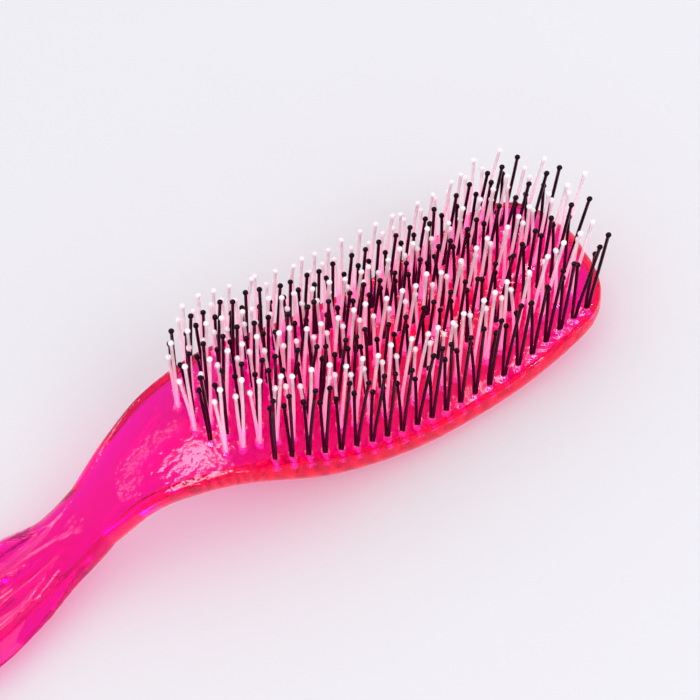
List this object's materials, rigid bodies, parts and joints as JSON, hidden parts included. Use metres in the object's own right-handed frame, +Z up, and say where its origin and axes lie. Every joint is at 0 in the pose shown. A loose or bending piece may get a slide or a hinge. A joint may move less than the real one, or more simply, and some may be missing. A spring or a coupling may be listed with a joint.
{
  "type": "scalp massage brush",
  "caption": "Hair brush for massaging the scalp: a clear S-shaped body with a fluted grip and a hollow pin face, filled with rows of folded pins whose long and short legs end in balls.",
  "frame": {"origin": "middle of the box at its base, on the table that the brush lies on", "axes": "+X from the grip to the tip, +Z up, away from the table, on the side of the pins"},
  "size_m": [0.207, 0.0496, 0.0541],
  "materials": {
    "clear_pink_plastic": "clear pink, moulded and polished",
    "black_nylon": "smooth black nylon",
    "white_nylon": "milky white nylon"
  },
  "bodies": {
    "root": {"brush_body": "clear_pink_plastic", "pin_row_1_rear": "black_nylon", "pin_row_1_middle": "black_nylon", "pin_row_1_front": "black_nylon", "pin_row_2_rear": "white_nylon", "pin_row_2_middle": "white_nylon", "pin_row_2_front": "white_nylon", "pin_row_3_rear": "black_nylon", "pin_row_3_middle": "black_nylon", "pin_row_3_front": "black_nylon", "pin_row_4_rear": "white_nylon", "pin_row_4_middle": "white_nylon", "pin_row_4_front": "white_nylon", "pin_row_5_rear": "black_nylon", "pin_row_5_middle": "black_nylon", "pin_row_5_front": "black_nylon", "pin_row_6_rear": "white_nylon", "pin_row_6_middle": "white_nylon", "pin_row_6_front": "white_nylon", "pin_row_7_rear": "black_nylon", "pin_row_7_middle": "black_nylon", "pin_row_7_front": "black_nylon", "pin_row_8_rear": "white_nylon", "pin_row_8_middle": "white_nylon", "pin_row_8_front": "white_nylon"}
  },
  "joints": []
}
